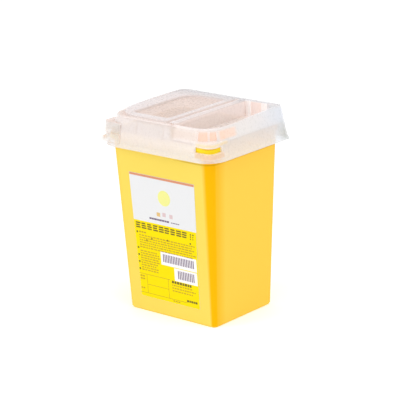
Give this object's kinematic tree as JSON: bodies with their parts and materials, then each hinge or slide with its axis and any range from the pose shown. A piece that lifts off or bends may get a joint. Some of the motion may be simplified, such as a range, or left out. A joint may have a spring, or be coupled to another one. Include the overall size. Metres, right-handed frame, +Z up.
{
  "type": "sharps container",
  "caption": "Small tapered square sharps container with a push-on translucent lid, a hinged flap over the drop opening, a finger bay beside it and a front label.",
  "frame": {"origin": "centre of the base on the surface the container stands on", "axes": "+Z up along the height, label face towards -Y, +X to the right when facing the label"},
  "size_m": [0.1204, 0.1, 0.168],
  "materials": {
    "yellow_plastic": "smooth satin moulded polypropylene, opaque yellow",
    "clear_plastic": "milky translucent moulded polypropylene",
    "label_paper": "semi-gloss printed label sheet"
  },
  "bodies": {
    "body": {"container": "yellow_plastic", "label": "label_paper"},
    "lid": {"lid": "clear_plastic"},
    "flap": {"flap": "clear_plastic"}
  },
  "joints": [
    {"name": "lid_lift", "type": "slide", "parent": "body", "child": "lid", "axis": [0, 0, 1], "range_m": [0, 0.06]},
    {"name": "flap_hinge", "type": "hinge", "parent": "lid", "child": "flap", "pos_m": [0.0124, 0, 0.1662], "axis": [0, 1, 0], "range_deg": [0, 135]}
  ]
}
